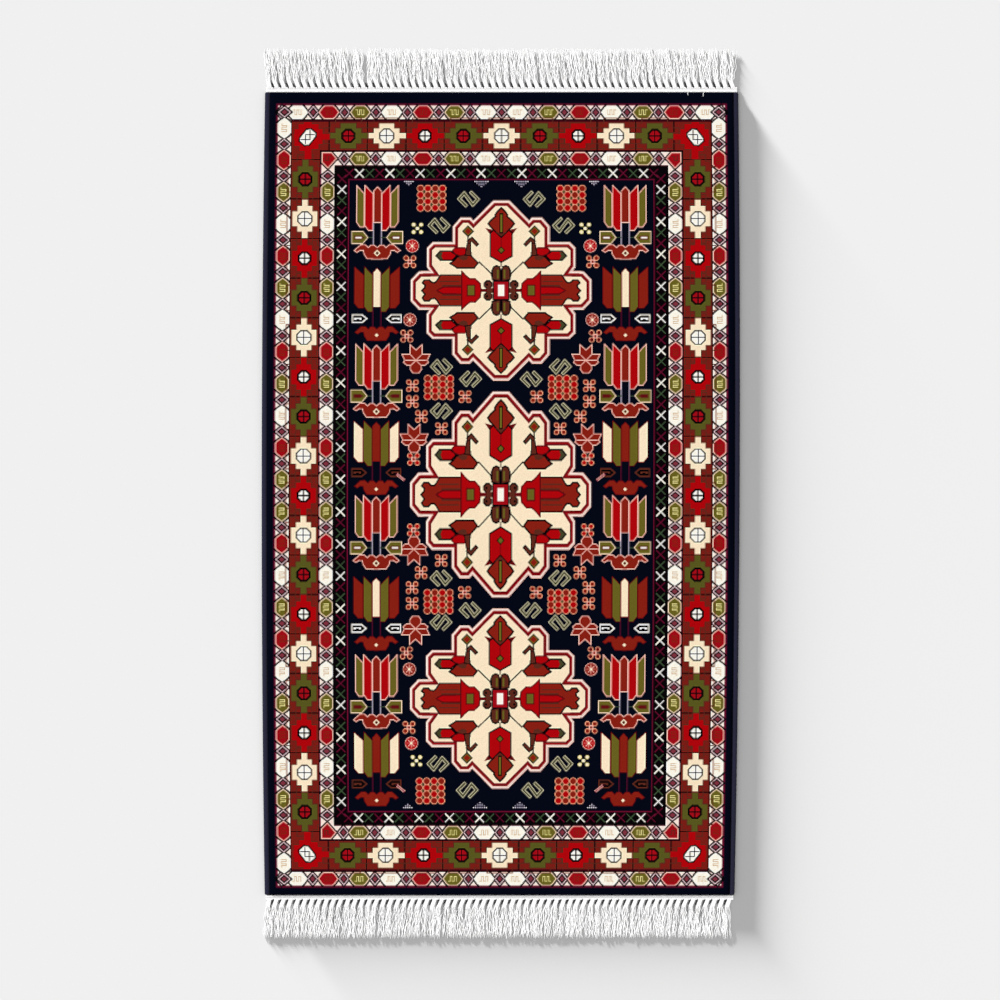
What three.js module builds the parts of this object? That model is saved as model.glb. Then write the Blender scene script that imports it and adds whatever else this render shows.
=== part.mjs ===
// A woven pile rug with a knotted fringe at both ends.
// Units are millimetres, +Z is up, the floor is z = 0 and the long side runs along Y.
// From the floor up it is a film of sizing on the back, a ground of three woven yarn layers and a cut pile.
// The pile is laid out as a field with three medallions inside five concentric borders. The long sides are
// overcast round a cord, and each short end has a folded tape that holds a row of tassels.
import * as THREE from "three";

// Overall sizes.
const rugWidth = 800; // over both overcast edges
const pileLength = 1352; // the cloth that carries pile, end to end
const fringeLength = 74; // from the end of the pile to the tips of the tassels
const pileHeight = 8.2;

// The back and the ground weave, from the floor up.
const sizingThickness = 0.4;
const backWeftThickness = 0.6;
const stufferWarpThickness = 0.7;
const faceWeftThickness = 0.6;

// Widths of the design's borders, from the outside in.
const sideBandWidth = 11.8; // plain band along the long sides
const endBandWidth = 22.5; // plain band along the short ends
const outerGuardWidth = 27;
const mainBorderWidth = 47.5;
const innerGuardWidth = 27;
const crossBorderWidth = 22;

// Medallions in the field.
const middleMedallionStretch = 1.145; // how much longer the middle medallion is than the other two
const medallionGap = 19.7; // between two medallions
const medallionEndMargin = 33; // between the field's end and the first medallion
const medallionSideMargin = 104.2; // room for the column of flowers on each side

// Overcast long edges.
const overcastWidth = 9.7;
const overcastHeight = 7.5;
const overcastWall = 3.9; // yarn beyond the cord that runs inside the overcasting
const edgeCordSlack = 0.05; // all round the cord, which is as thick as the ground

// Fringe.
const tapeReach = 5.5; // how far the tape stands out past the pile
const tapeThickness = 0.4;
const tapeInset = 2; // the tape is this much shorter than the rug is wide, at each side
const stitchWidth = 0.8;
const stitchThickness = 0.3;
const stitchMargin = 0.5; // from the stitches to the edges of the tape's flat part
const stitchPitch = 14;
const tasselsPerGroup = 5;
const groupsPerEnd = 13;
const tasselThickness = 2.4;
const headingYarnWidth = 2.2; // the yarn that a group's tassels are looped on
const neckWidth = 8.4; // the bound top of a tassel
const neckLength = 13;
const skirtSlit = 0.8; // between the loose skirts of two tassels
const skirtSpread = 9; // from the neck's end to where the skirt is widest
const tipWidth = 10;

const gap = 0.3; // between neighbours that don't press on each other
const ellipseSteps = 20;
const foldSteps = 6;

// Heights that follow from the layers.
const backWeftBottom = sizingThickness;
const stufferBottom = backWeftBottom + backWeftThickness;
const faceWeftBottom = stufferBottom + stufferWarpThickness;
const groundTop = faceWeftBottom + faceWeftThickness;
const edgeCordRadius = (groundTop - backWeftBottom) / 2 - edgeCordSlack;
// How far the ground reaches into the overcasting.
const groundTuck = overcastWidth - overcastWall - 2 * edgeCordRadius - 2 * gap;
const tapeTop = groundTop + tapeThickness;
const tapeFoldRadius = tapeTop / 2;

// Plan sizes that follow. A rectangle is given by its half width and half length.
const pileHalf = { x: rugWidth / 2 - overcastWidth - gap, y: pileLength / 2 };
const insetBy = (half, dx, dy) => ({ x: half.x - dx, y: half.y - dy });
const outerGuardHalf = insetBy(pileHalf, sideBandWidth, endBandWidth);
const mainBorderHalf = insetBy(outerGuardHalf, outerGuardWidth, outerGuardWidth);
const innerGuardHalf = insetBy(mainBorderHalf, mainBorderWidth, mainBorderWidth);
const crossBorderHalf = insetBy(innerGuardHalf, innerGuardWidth, innerGuardWidth);
const fieldHalf = insetBy(crossBorderHalf, crossBorderWidth, crossBorderWidth);
const medallionHalf = {
  x: fieldHalf.x - medallionSideMargin,
  y: (fieldHalf.y - medallionEndMargin - medallionGap) / (2 + middleMedallionStretch),
};
const middleMedallionHalf = { x: medallionHalf.x, y: medallionHalf.y * middleMedallionStretch };
const medallionPitch = middleMedallionHalf.y + medallionGap + medallionHalf.y;

// Materials, one for each kind of yarn.
const fabric = (color, roughness = 0.9) =>
  new THREE.MeshStandardMaterial({ color, roughness, metalness: 0 });
const navyPile = fabric(0x0a0b1e);
const ivoryPile = fabric(0xf7f2e4);
const rustPile = fabric(0x8a2a1c);
const blackPile = fabric(0x140a10);
const creamPile = fabric(0xf6e2bd);
const navyOvercast = fabric(0x1e2142, 0.8);
const whiteCotton = fabric(0xf4f3ef, 0.85);
const rawJute = fabric(0xb49a6e, 0.95);
const rawCotton = fabric(0xd9cfb8, 0.9);
const latexFilm = fabric(0xcdbf9f, 0.7);

const rug = new THREE.Group();
rug.name = "area_rug";

function add(name, geometry, material, parent = rug) {
  const mesh = new THREE.Mesh(geometry, material);
  mesh.name = name;
  parent.add(mesh);
  return mesh;
}

// A closed outline, in the XY plane, of a rectangle of these half sizes.
function rectangle(half) {
  return [
    new THREE.Vector2(-half.x, -half.y),
    new THREE.Vector2(half.x, -half.y),
    new THREE.Vector2(half.x, half.y),
    new THREE.Vector2(-half.x, half.y),
  ];
}

// A flat layer: an outline with holes, from one height up through a thickness.
function layer(outline, holes, bottom, thickness) {
  const shape = new THREE.Shape(outline);
  shape.holes = holes.map((hole) => new THREE.Path(hole));
  const geometry = new THREE.ExtrudeGeometry(shape, { depth: thickness, bevelEnabled: false });
  return geometry.translate(0, 0, bottom);
}

// A profile drawn in (across, up) and drawn out along a straight run of this length, centred on the origin.
function runAlongY(profile, length) {
  const shape = new THREE.Shape(profile);
  const geometry = new THREE.ExtrudeGeometry(shape, { depth: length, bevelEnabled: false });
  return geometry.translate(0, 0, -length / 2).rotateX(Math.PI / 2);
}

// One quarter of the medallion's outline, as shares of its half width and half length.
// It runs from the side to the end, a lobed shape with a notch between each two lobes.
const medallionQuarter = [
  [1, 0.11],
  [0.915, 0.215],
  [0.77, 0.215],
  [0.825, 0.275],
  [0.825, 0.47],
  [0.765, 0.535],
  [0.535, 0.535],
  [0.535, 0.73],
  [0.46, 0.82],
  [0.35, 0.82],
  [0.315, 0.765],
  [0.1, 1],
];

// The whole outline, mirrored from the quarter, grown by a margin and moved along Y.
function medallionOutline(half, centreY, margin) {
  const halfX = half.x + margin;
  const halfY = half.y + margin;
  const quadrants = [
    [1, 1],
    [-1, 1],
    [-1, -1],
    [1, -1],
  ];
  return quadrants.flatMap(([sx, sy], i) => {
    const points = i % 2 ? [...medallionQuarter].reverse() : medallionQuarter;
    return points.map(([x, y]) => new THREE.Vector2(sx * x * halfX, centreY + sy * y * halfY));
  });
}

// Back and ground: a sizing film, two layers of weft and the stuffer warp between them.
function addGround() {
  const groundHalf = { x: pileHalf.x + gap + groundTuck, y: pileHalf.y + tapeReach - tapeFoldRadius - gap };
  add("back_sizing", layer(rectangle(pileHalf), [], 0, sizingThickness), latexFilm);
  const layers = [
    ["ground_weft_back", backWeftBottom, backWeftThickness, rawJute],
    ["ground_stuffer_warp", stufferBottom, stufferWarpThickness, rawCotton],
    ["ground_weft_face", faceWeftBottom, faceWeftThickness, rawJute],
  ];
  for (const [name, bottom, thickness, material] of layers) {
    // The tucked edge stops at the pile's ends, so that the tape can fold round the rest.
    const tongueHalf = { x: pileHalf.x - gap, y: groundHalf.y };
    const outline = [
      new THREE.Vector2(tongueHalf.x, -tongueHalf.y),
      new THREE.Vector2(tongueHalf.x, -pileHalf.y),
      new THREE.Vector2(groundHalf.x, -pileHalf.y),
      new THREE.Vector2(groundHalf.x, pileHalf.y),
      new THREE.Vector2(tongueHalf.x, pileHalf.y),
      new THREE.Vector2(tongueHalf.x, tongueHalf.y),
    ];
    const mirrored = [...outline].reverse().map((p) => new THREE.Vector2(-p.x, p.y));
    add(name, layer([...outline, ...mirrored], [], bottom, thickness), material);
  }
}

// Pile: each border is a frame of tufts, and the field has an opening for each medallion.
function addPile() {
  const frames = [
    ["pile_outer_band", pileHalf, outerGuardHalf, navyPile],
    ["pile_outer_guard_border", outerGuardHalf, mainBorderHalf, ivoryPile],
    ["pile_main_border", mainBorderHalf, innerGuardHalf, rustPile],
    ["pile_inner_guard_border", innerGuardHalf, crossBorderHalf, ivoryPile],
    ["pile_cross_border", crossBorderHalf, fieldHalf, blackPile],
  ];
  for (const [name, outer, inner, material] of frames) {
    const hole = rectangle(insetBy(inner, -gap, -gap));
    add(name, layer(rectangle(outer), [hole], groundTop, pileHeight), material);
  }
  const medallions = [
    ["pile_medallion_near", medallionHalf, -medallionPitch],
    ["pile_medallion_middle", middleMedallionHalf, 0],
    ["pile_medallion_far", medallionHalf, medallionPitch],
  ];
  const holes = medallions.map(([, half, centreY]) => medallionOutline(half, centreY, 0));
  add("pile_field", layer(rectangle(fieldHalf), holes, groundTop, pileHeight), navyPile);
  for (const [name, half, centreY] of medallions) {
    add(name, layer(medallionOutline(half, centreY, -gap), [], groundTop, pileHeight), creamPile);
  }
}

// Long edges: overcasting with an oval section, slotted for the ground's edge and the cord beyond it.
function addLongEdges() {
  const halfWidth = overcastWidth / 2;
  const halfHeight = overcastHeight / 2;
  const angleAt = (z) => Math.asin((z - halfHeight) / halfHeight);
  const slotEnd = halfWidth - overcastWall;
  const from = Math.PI - angleAt(groundTop);
  const to = -Math.PI - angleAt(backWeftBottom);
  const profile = [];
  for (let i = 0; i <= ellipseSteps; i++) {
    const angle = from + ((to - from) * i) / ellipseSteps;
    profile.push(new THREE.Vector2(halfWidth * Math.cos(angle), halfHeight + halfHeight * Math.sin(angle)));
  }
  profile.push(new THREE.Vector2(slotEnd, backWeftBottom), new THREE.Vector2(slotEnd, groundTop));

  const cordUp = (backWeftBottom + groundTop) / 2;
  const cordAcross = slotEnd - gap - edgeCordRadius;
  for (const [side, turn] of [["right", 0], ["left", Math.PI]]) {
    const edge = new THREE.Group();
    edge.rotation.z = turn;
    rug.add(edge);
    const overcast = add("overcast_edge_" + side, runAlongY(profile, pileLength), navyOvercast, edge);
    overcast.position.x = rugWidth / 2 - halfWidth;
    const cord = add(
      "edge_cord_" + side,
      new THREE.CylinderGeometry(edgeCordRadius, edgeCordRadius, pileLength, 8),
      rawCotton,
      edge,
    );
    cord.position.set(rugWidth / 2 - halfWidth + cordAcross, 0, cordUp);
  }
}

// Fringe layout. The tassels turn about the heading yarn, which clears the tape all the way round.
// The fold's axis, from the end of the pile.
const hingeOut = tapeReach + gap + Math.hypot(headingYarnWidth, tasselThickness) / 2;
const hingeUp = tasselThickness / 2;
const tasselPitch = (rugWidth - 2 * tapeInset) / (groupsPerEnd * tasselsPerGroup);
const groupPitch = tasselPitch * tasselsPerGroup;
const tasselLength = fringeLength - hingeOut;

// A group of tassels that points along +Y from its heading yarn.
// It is one flat comb, centred on its middle tassel.
function tasselGroup() {
  const yarnHalf = (groupPitch - gap) / 2;
  const skirtHalf = (tasselPitch - skirtSlit) / 2;
  const yarnEdge = headingYarnWidth / 2;
  const outline = [new THREE.Vector2(yarnHalf, -yarnEdge), new THREE.Vector2(yarnHalf, yarnEdge)];
  for (let i = tasselsPerGroup - 1; i >= 0; i--) {
    const across = (i - (tasselsPerGroup - 1) / 2) * tasselPitch;
    const rightSide = [
      [neckWidth / 2, yarnEdge],
      [neckWidth / 2, neckLength],
      [skirtHalf, neckLength + skirtSpread],
      [tipWidth / 2, tasselLength],
    ];
    const leftSide = [...rightSide].reverse().map(([x, y]) => [-x, y]);
    for (const [x, y] of [...rightSide, ...leftSide]) outline.push(new THREE.Vector2(across + x, y));
  }
  outline.push(new THREE.Vector2(-yarnHalf, yarnEdge), new THREE.Vector2(-yarnHalf, -yarnEdge));
  return layer(outline, [], -tasselThickness / 2, tasselThickness);
}

// The tape that is folded round the ground's end, as a channel that opens towards the rug.
function tapeProfile() {
  const foldStart = tapeReach - tapeFoldRadius;
  const profile = [new THREE.Vector2(gap, 0)];
  for (let i = 0; i <= foldSteps; i++) {
    const angle = Math.PI * (i / foldSteps - 0.5);
    const out = foldStart + tapeFoldRadius * Math.cos(angle);
    profile.push(new THREE.Vector2(out, tapeFoldRadius + tapeFoldRadius * Math.sin(angle)));
  }
  profile.push(
    new THREE.Vector2(gap, tapeTop),
    new THREE.Vector2(gap, groundTop),
    new THREE.Vector2(foldStart, groundTop),
    new THREE.Vector2(foldStart, backWeftBottom),
    new THREE.Vector2(gap, backWeftBottom),
  );
  return profile;
}

// A zigzag line of sewing thread, flat on the tape.
function stitchLine(length) {
  const low = gap + stitchMargin;
  const high = tapeReach - tapeFoldRadius - stitchMargin - stitchWidth;
  const turns = 2 * Math.round(length / stitchPitch);
  const step = length / turns;
  const outAt = (i) => (i % 2 ? high : low);
  const there = [];
  for (let i = 0; i <= turns; i++) there.push(new THREE.Vector2(i * step - length / 2, outAt(i)));
  const back = [...there].reverse().map((p) => new THREE.Vector2(p.x, p.y + stitchWidth));
  return layer([...there, ...back], [], tapeTop, stitchThickness);
}

// Both short ends: the same tape, stitches and tassel groups, turned half round for the near end.
function addFringes() {
  const tapeLength = rugWidth - 2 * tapeInset;
  const groupGeometry = tasselGroup();
  for (const [end, turn] of [["far", 0], ["near", Math.PI]]) {
    const edge = new THREE.Group();
    edge.rotation.z = turn;
    rug.add(edge);
    const outward = new THREE.Group();
    outward.position.y = pileHalf.y;
    edge.add(outward);

    const tape = new THREE.ExtrudeGeometry(new THREE.Shape(tapeProfile()), {
      depth: tapeLength,
      bevelEnabled: false,
    });
    // Local (x, y, z) of the profile is (out, up, along); turn it to (along, out, up).
    const alongOutUp = new THREE.Matrix4().set(0, 0, 1, 0, 1, 0, 0, 0, 0, 1, 0, 0, 0, 0, 0, 1);
    tape.translate(0, 0, -tapeLength / 2).applyMatrix4(alongOutUp);
    add("fringe_tape_" + end, tape, whiteCotton, outward);
    add("fringe_stitch_" + end, stitchLine(tapeLength - 2 * stitchMargin), whiteCotton, outward);

    for (let i = 0; i < groupsPerEnd; i++) {
      const number = String(i + 1).padStart(2, "0");
      const group = add("tassels_" + end + "_" + number, groupGeometry, whiteCotton, outward);
      const across = (i - (groupsPerEnd - 1) / 2) * groupPitch;
      group.position.set(turn ? -across : across, hingeOut, hingeUp);
    }
  }
}

addGround();
addPile();
addLongEdges();
addFringes();

export default rug;
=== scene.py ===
"""Looks of a woven pile rug: every tuft of the design, the ground, the overcast edges and the fringes.

The functions under "Design" draw the design on a chart of knots, one knot for each quad of the pile's
surface. Their coordinates are knots from the design's centre: u to the right, v towards the near end.
Everything else is in metres, in the frame's own axes. The rug's far end is +Y.
"""
import math

import bpy
import numpy as np
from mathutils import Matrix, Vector


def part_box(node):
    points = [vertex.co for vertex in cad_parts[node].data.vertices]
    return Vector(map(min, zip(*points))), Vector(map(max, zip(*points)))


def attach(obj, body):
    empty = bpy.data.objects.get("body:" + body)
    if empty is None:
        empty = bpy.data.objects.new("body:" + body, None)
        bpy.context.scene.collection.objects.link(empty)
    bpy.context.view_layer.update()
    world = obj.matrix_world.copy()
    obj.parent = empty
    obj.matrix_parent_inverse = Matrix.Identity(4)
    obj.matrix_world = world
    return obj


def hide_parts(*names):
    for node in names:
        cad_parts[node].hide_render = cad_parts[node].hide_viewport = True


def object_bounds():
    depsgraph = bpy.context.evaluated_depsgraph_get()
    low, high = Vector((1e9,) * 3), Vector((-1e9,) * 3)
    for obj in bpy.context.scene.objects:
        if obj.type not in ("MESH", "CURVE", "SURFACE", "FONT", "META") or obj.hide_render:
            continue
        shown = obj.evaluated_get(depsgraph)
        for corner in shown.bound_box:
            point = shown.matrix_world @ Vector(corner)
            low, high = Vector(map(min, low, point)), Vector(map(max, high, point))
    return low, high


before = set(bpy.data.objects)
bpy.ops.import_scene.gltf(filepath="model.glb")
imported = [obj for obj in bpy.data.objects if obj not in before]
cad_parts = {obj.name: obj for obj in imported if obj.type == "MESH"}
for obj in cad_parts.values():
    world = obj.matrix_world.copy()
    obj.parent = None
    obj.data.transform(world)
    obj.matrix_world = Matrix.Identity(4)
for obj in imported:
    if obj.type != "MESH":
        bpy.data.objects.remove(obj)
CAD_BOX = [list(corner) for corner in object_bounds()]

MM = 0.001

# Knots of the pile, counted over the whole cloth.
COLUMNS = 464
ROWS = 804
FAR_ROWS = 404  # from the far end to the borders' centre, which is two knots off the cloth's
FIELD_ROWS = 403  # from the far end to the field's centre
CRISPNESS = 0.3
SAMPLES = 3  # points across a knot at which the chart is drawn, so that fine lines keep their weight

PILE_LOW, PILE_HIGH = (np.array(corner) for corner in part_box("pile_outer_band"))
KNOT_WIDTH = (PILE_HIGH[0] - PILE_LOW[0]) / COLUMNS
KNOT_LENGTH = (PILE_HIGH[1] - PILE_LOW[1]) / ROWS
PILE_END = PILE_HIGH[1]
PILE_TOP = PILE_HIGH[2]
GROUND_TOP = PILE_LOW[2]

SIDE_REACH = 0.7 * MM  # how far the outermost tufts splay, on to the overcast edges

# The rug isn't quite a rectangle: its sides bulge a little and the near end is drawn in.
RUG_WIDTH = CAD_BOX[1][0] - CAD_BOX[0][0]
BULGE = 5.5 * MM
END_PULL = 11.6 * MM
NEAR_PULL = 3.9 * MM
SWAY = 1.8 * MM
WIDEST_Y = -27.8 * MM
HALF_RUN = 699 * MM

# Side edges, and the thread along the end tapes.
WRAP_PITCH = 2.4 * MM
WRAP_LEAN = 1.1 * MM
THREAD = 0.32 * MM  # radius
STITCH_PITCH = 7 * MM
LOOSE_ENDS = {"far": ((316, 7, -1.0), (343, 9, -2.5)), "near": ()}  # x, length and drift, in mm

# Fringes.
GROUPS = 13
TASSELS = 5  # in a group
TASSEL_PITCH = 12.246 * MM
YARNS_PER_TASSEL = 11
YARN = 0.66 * MM  # radius
HEADING_Y = 683.43 * MM
HEADING_RADIUS = 1.5 * MM
HEADING_HEIGHT = 1.22 * MM
TASSEL_END = 749 * MM
TASSEL_LIMIT = 752 * MM  # no yarn reaches farther than this
NECK = 13 * MM  # length
NECK_HALF = 3.1 * MM
SKIRT_HALF = 5.2 * MM
LEAN = 4.6 * MM  # how far a neck slants, towards -x
SHADE_HAIR_SHARE = 0.35  # of the dark strands of painted shade between the necks, those with a loose dark hair that runs on into the fringe, painted shade between its strands

# Picture and daylight. A sun is its heading from +X to +Y, its elevation and its spread, in degrees.
PICTURE_CENTRE = (-1.0 * MM, -10.8 * MM)
PICTURE_WIDTH = 1.684
CAMERA_HEIGHT = 9.0
FLOOR = 0.5
FLOOR_HALF = 6.0
DAYLIGHT = 1.742  # the light on the floor, which shows the floor as a pale grey
SUN_SHARE = 0.52
FLOOR_SUN = (126, 4.0, 7.5)
RUG_SUN = (145, 42, 22)
DYE_GAIN = 1 / DAYLIGHT

rng = np.random.default_rng(1208)

# Yarn colours, as sRGB.
YARNS = {
    "navy": (2, 5, 20),
    "black": (7, 2, 5),
    "crimson": (98, 12, 42),
    "claret": (58, 6, 18),
    "maroon": (100, 8, 14),
    "garnet": (158, 10, 22),
    "red": (174, 3, 10),
    "wine": (124, 50, 62),
    "brick": (122, 28, 21),
    "rust": (136, 30, 18),
    "brown": (92, 40, 28),
    "moss": (66, 66, 40),
    "olive": (104, 96, 31),
    "green": (88, 86, 30),
    "sage": (62, 84, 56),
    "oat": (188, 181, 150),
    "straw": (214, 204, 132),
    "tan": (222, 196, 166),
    "peach": (222, 148, 116),
    "cream": (253, 231, 198),
    "pink": (238, 176, 162),
    "mauve": (212, 184, 188),
    "blush": (252, 226, 215),
    "lilac": (216, 204, 220),
    "white": (255, 249, 234),
}
INK = {name: i for i, name in enumerate(YARNS)}

# The other yarns, each as a dark and a light colour. The dark one is painted shade, laid in the
# grooves between plies and where yarns dip under the weave; the light one is the yarn's own colour.
COTTON = ((206, 205, 206), (238, 237, 236))
RAW_COTTON = ((176, 164, 140), (230, 220, 200))
WARP_COTTON = ((170, 158, 136), (226, 216, 196))
JUTE = ((120, 96, 62), (178, 150, 108))
# Dark strands that are painted shade between the fringe's tassel necks.
SLOT_SHADE_COLOURS = ((14, 14, 16), (48, 48, 50))
OVERCAST = ((12, 12, 26), (34, 34, 54))


# ---------- Lie of the cloth
def lie(x, y):
    """Where a point of the flat cloth lies: x after the cloth's sides have settled. y stays."""
    t = (WIDEST_Y - y) / HALF_RUN
    width = RUG_WIDTH + BULGE - END_PULL * t**2 - NEAR_PULL * t
    return x * width / RUG_WIDTH - SWAY * t


# ---------- Design: drawing on the chart
class Pen:
    """Draws filled shapes on a chart, in the local coordinates of a motif."""

    def __init__(self, ink, origin, scale, at=(0, 0), axes=((1, 0), (0, 1))):
        self.ink = ink
        self.origin = np.array(origin, float)
        self.scale = scale
        self.at_point = np.array(at, float)
        self.axes = np.array(axes, float)

    def at(self, u, v, flip_u=False, flip_v=False, turned=False, stretch=1.0):
        """A pen for a motif centred here. turned swaps its axes, and stretch lengthens it along v."""
        axes = np.array([[0, 1], [1, 0]] if turned else [[1, 0], [0, 1]], float)
        axes *= (-1 if flip_u else 1, -stretch if flip_v else stretch)
        centre = self.at_point + np.array([u, v]) @ self.axes
        return Pen(self.ink, self.origin, self.scale, centre, axes @ self.axes)

    def fill(self, points, yarn):
        p = (self.at_point + np.array(points, float) @ self.axes - self.origin) * self.scale
        height, width = self.ink.shape
        low = np.maximum(np.floor(p.min(0)).astype(int), 0)
        high = np.minimum(np.ceil(p.max(0)).astype(int), (width, height))
        if (high <= low).any():
            return
        xs = np.arange(low[0], high[0]) + 0.5
        ys = np.arange(low[1], high[1]) + 0.5
        inside = np.zeros((len(ys), len(xs)), bool)
        for (ax, ay), (bx, by) in zip(p, np.roll(p, -1, 0)):
            rows = (ys >= min(ay, by)) & (ys < max(ay, by))
            if rows.any():
                crossing = ax + (ys[rows] - ay) * (bx - ax) / (by - ay)
                inside[rows] ^= xs[None, :] > crossing[:, None]
        block = self.ink[low[1] : high[1], low[0] : high[0]]
        block[inside] = INK[yarn] if isinstance(yarn, str) else yarn

    def box(self, u0, v0, u1, v1, yarn):
        self.fill([(u0, v0), (u1, v0), (u1, v1), (u0, v1)], yarn)

    def disc(self, u, v, radius, yarn, sides=8):
        self.fill(np.array([u, v]) + ring(radius, sides), yarn)

    def diamond(self, u, v, half_u, half_v, yarn):
        self.fill([(u, v - half_v), (u + half_u, v), (u, v + half_v), (u - half_u, v)], yarn)

    def line(self, points, width, yarn, closed=False):
        points = [np.array(p, float) for p in points]
        pairs = list(zip(points, points[1:]))
        if closed:
            pairs.append((points[-1], points[0]))
        for a, b in pairs:
            step = b - a
            length = max(np.hypot(*step), 1e-6)
            along = step / length * width / 2 * 0.8
            side = np.array([-step[1], step[0]]) / length * width / 2
            self.fill([a - along + side, b + along + side, b + along - side, a - along - side], yarn)

    def outlined(self, points, yarn, edge, width=1.1):
        self.fill(points, yarn)
        self.line(points, width, edge, closed=True)


def ring(radius, sides):
    """A regular polygon about the origin, with a flat top."""
    turns = np.arange(sides) * 2 * math.pi / sides + math.pi / sides
    return radius * np.stack([np.cos(turns), np.sin(turns)], 1)


def mirrored(points):
    """A closed outline from its left half, which is listed from top to bottom."""
    return points + [(-u, v) for u, v in reversed(points) if u]


def four_way(points):
    """A closed outline from its upper left quarter, which is listed from the left to the top."""
    top = mirrored(points)
    return top + [(u, -v) for u, v in reversed(top)]


def inset(points, distance):
    """A closed outline, listed clockwise as seen, moved inwards with its corners kept sharp."""
    p = np.array(points, float)
    step = np.roll(p, -1, 0) - p
    step /= np.hypot(step[:, 0], step[:, 1])[:, None]
    inward = np.stack([-step[:, 1], step[:, 0]], 1)
    before = np.roll(inward, 1, 0)
    bend = (before * inward).sum(1, keepdims=True)
    return p + distance * (before + inward) / (1 + bend)


# ---------- Design: borders
PITCH_ALONG = 32.0  # cartouches down the long sides
PITCH_ACROSS = 31.5  # and along the ends
GUARD_HALF = 6.7


def cartouche(pen, yarn):
    """A six-sided panel that runs along u, with a small meander in it."""
    edge = {"white": "white", "garnet": "pink", "olive": "tan"}[yarn]
    sign = {"white": "tan", "garnet": "rust", "olive": "straw"}[yarn]
    for side in (1, -1):
        for up in (1, -1):
            pen.line([(side * 5.6, up * 7.4), (side * 8.4, up * 4.2), (side * 10.4, up)], 1.7, "black")
    pen.outlined(four_way([(-9.8, 0), (-8, -2.6), (-6.3, -4.8), (-4.2, -6.3)]), yarn, edge, 1.2)
    meander = [(-4.4, -2.4), (-2.6, -2.4), (-2.6, 2.4), (-0.8, 2.4), (-0.8, -2.4)]
    meander += [(1.4, -2.4), (1.4, 2.4), (3.6, 2.4), (3.6, -2.4)]
    pen.line(meander, 0.9, sign)


def small_diamond(pen):
    pen.diamond(0, 0, 7.4, 8.8, "black")
    pen.diamond(0, 0, 5.7, 6.8, "mauve")
    pen.diamond(0, 0, 4.1, 4.9, "black")
    pen.diamond(0, 0, 2.6, 3.2, "wine")


def shield(pen):
    """The inner guard border's corner panel, which points along both sides."""
    shape = [(-6, -6), (3.5, -6), (8.6, 0), (6.5, 2), (0, 9.5), (-6, 3.5)]
    pen.line(inset(shape, -1), 1.6, "black", closed=True)
    pen.outlined(shape, "garnet", "pink", 1.2)
    pen.line([(-2.5, -2.6), (-2.5, 2), (0.5, 2), (0.5, -2), (3, -2)], 0.8, "brown")


def guard_strip(pen, count, pitch, yarns):
    """A run of diamonds and cartouches from the middle of a side outwards, towards -u."""
    for k in range(count + 1):
        small_diamond(pen.at(-pitch * k, 0))
    for k in range(count):
        cartouche(pen.at(-pitch * (k + 0.5), 0), yarns[k % 3])


def guard_border(pen, centre_u, centre_v, across, along):
    """One corner of a guard border: the stretch of the end, then the stretch of the side."""
    low_u, low_v = -centre_u - GUARD_HALF, -centre_v - GUARD_HALF
    pen.box(low_u, low_v, 0, low_v + 2 * GUARD_HALF, "blush")
    pen.box(low_u, low_v, low_u + 2 * GUARD_HALF, 0, "blush")
    guard_strip(pen.at(0, -centre_v), across, PITCH_ACROSS, ("white", "olive", "garnet"))
    guard_strip(pen.at(-centre_u, 0, turned=True), along, PITCH_ALONG, ("olive", "garnet", "white"))


CROSS_QUARTER = ((-19.2, -2.7), (-12.9, -2.7), (-12.9, -7.6), (-7.6, -7.6), (-7.6, -12.6))


def stepped_cross(grow=0.0):
    """A cross with stepped arms, longer along u, and grown all round."""
    return four_way([(u - grow, v - grow) for u, v in CROSS_QUARTER])


CROSS_LOOKS = {
    # fill and edging of the octagon, its radius, the edging's width and that of the cross inside
    "cream": ("white", "black", 8.0, 1.0, 0.7),
    "red": ("white", "black", 7.3, 1.9, 1.2),
    "green": ("garnet", "black", 7.6, 1.9, 1.0),
}


def border_cross(pen, yarn):
    """A stepped cross with an octagon at its heart."""
    pen.line(stepped_cross(0.5), 1.0, "brown", closed=True)
    pen.fill(stepped_cross(), yarn)
    fill, edge, radius, edge_width, cross_width = CROSS_LOOKS[yarn]
    pen.outlined(ring(radius - edge_width / 2, 8), fill, edge, edge_width)
    pen.line([(-radius + 1, 0), (radius - 1, 0)], cross_width, edge)
    pen.line([(0, -radius + 1), (0, radius - 1)], cross_width, edge)


def corner_cross(pen):
    """The corner's cross, whose octagon is drawn out towards the rug's centre and corner."""
    shape = [(-14, -3), (-13.5, -3), (-13.5, -8), (-9.5, -8), (-9.5, -13), (-4, -13), (-4, -15)]
    shape += [(4, -15), (4, -13), (11, -13), (11, -8), (15, -8), (15, -3.5), (22, -3.5), (22, 2.5)]
    shape += [(15, 2.5), (15, 7), (11, 7), (11, 12), (4, 12), (4, 22), (-3, 22), (-3, 14)]
    shape += [(-8, 14), (-8, 9), (-13.5, 9), (-13.5, 3), (-14, 3)]
    pen.line(shape, 1.0, "brown", closed=True)
    pen.fill(shape, "red")
    eye = [(-8.6, 4), (-8.2, 0.5), (-1.5, -8), (3.2, -8.6)]
    eye += [(-u, -v) for u, v in eye]
    pen.outlined(eye, "white", "black", 1.3)
    for u, v in ((-2.2, 2.4), (2.2, -2.4)):
        pen.line([(u - 4.5, v), (u + 4.5, v)], 0.8, "black")
        pen.line([(u, v - 4.5), (u, v + 4.5)], 0.8, "black")


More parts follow.
